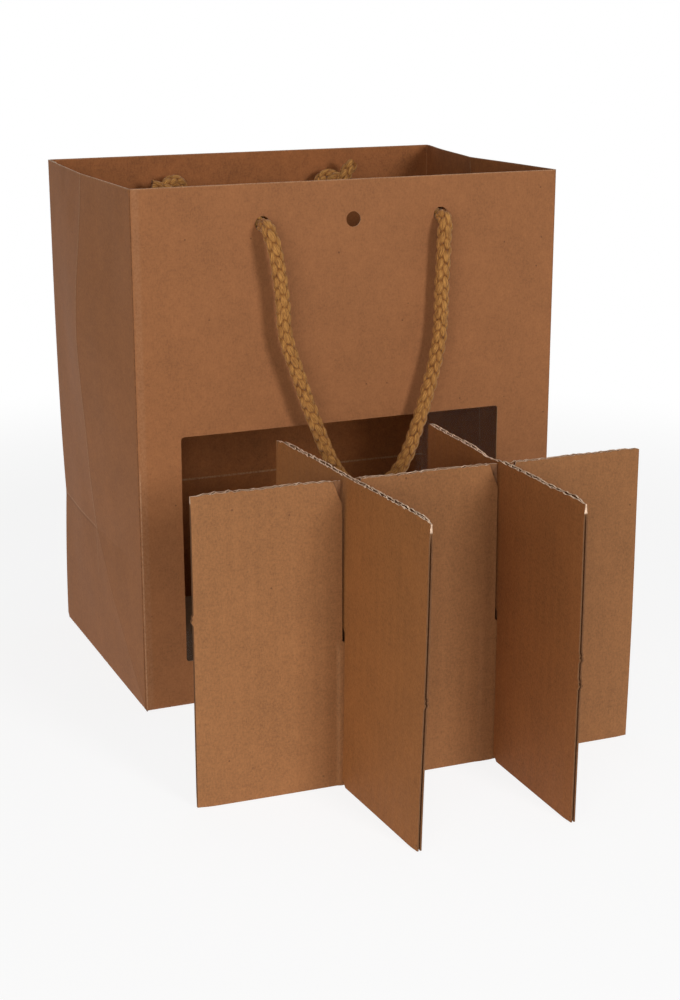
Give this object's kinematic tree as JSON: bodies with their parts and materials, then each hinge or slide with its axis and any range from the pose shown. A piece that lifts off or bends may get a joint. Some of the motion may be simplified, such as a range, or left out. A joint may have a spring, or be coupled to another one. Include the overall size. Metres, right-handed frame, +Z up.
{
  "type": "six-pack bottle carrier",
  "caption": "Kraft paper carrier bag with a clear window and knotted rope handles, and its interlocking corrugated bottle divider standing in front of it.",
  "frame": {"origin": "middle of the bag's base, on the surface that it stands on", "axes": "+Z up, +X to the right across the bag's front, +Y from the front to the back; the divider stands in front of the bag, towards -Y"},
  "size_m": [0.2202, 0.3335, 0.242],
  "materials": {
    "kraft_sheet": "matt unbleached kraft, fine fibre mottle",
    "window_film": "clear glossy film",
    "bottom_card": "matt grey-brown card",
    "braided_rope": "tan braided cord with a slight sheen",
    "corrugated_board": "matt kraft liners, pale torn edges"
  },
  "bodies": {
    "root": {"bag_shell": "kraft_sheet", "window_film": "window_film", "bottom_board": "bottom_card", "front_handle_rope": "braided_rope", "front_left_knot": "braided_rope", "front_right_knot": "braided_rope", "back_handle_rope": "braided_rope", "back_left_knot": "braided_rope", "back_right_knot": "braided_rope", "divider_long_panel": "corrugated_board", "divider_left_cross_panel": "corrugated_board", "divider_right_cross_panel": "corrugated_board"}
  },
  "joints": []
}
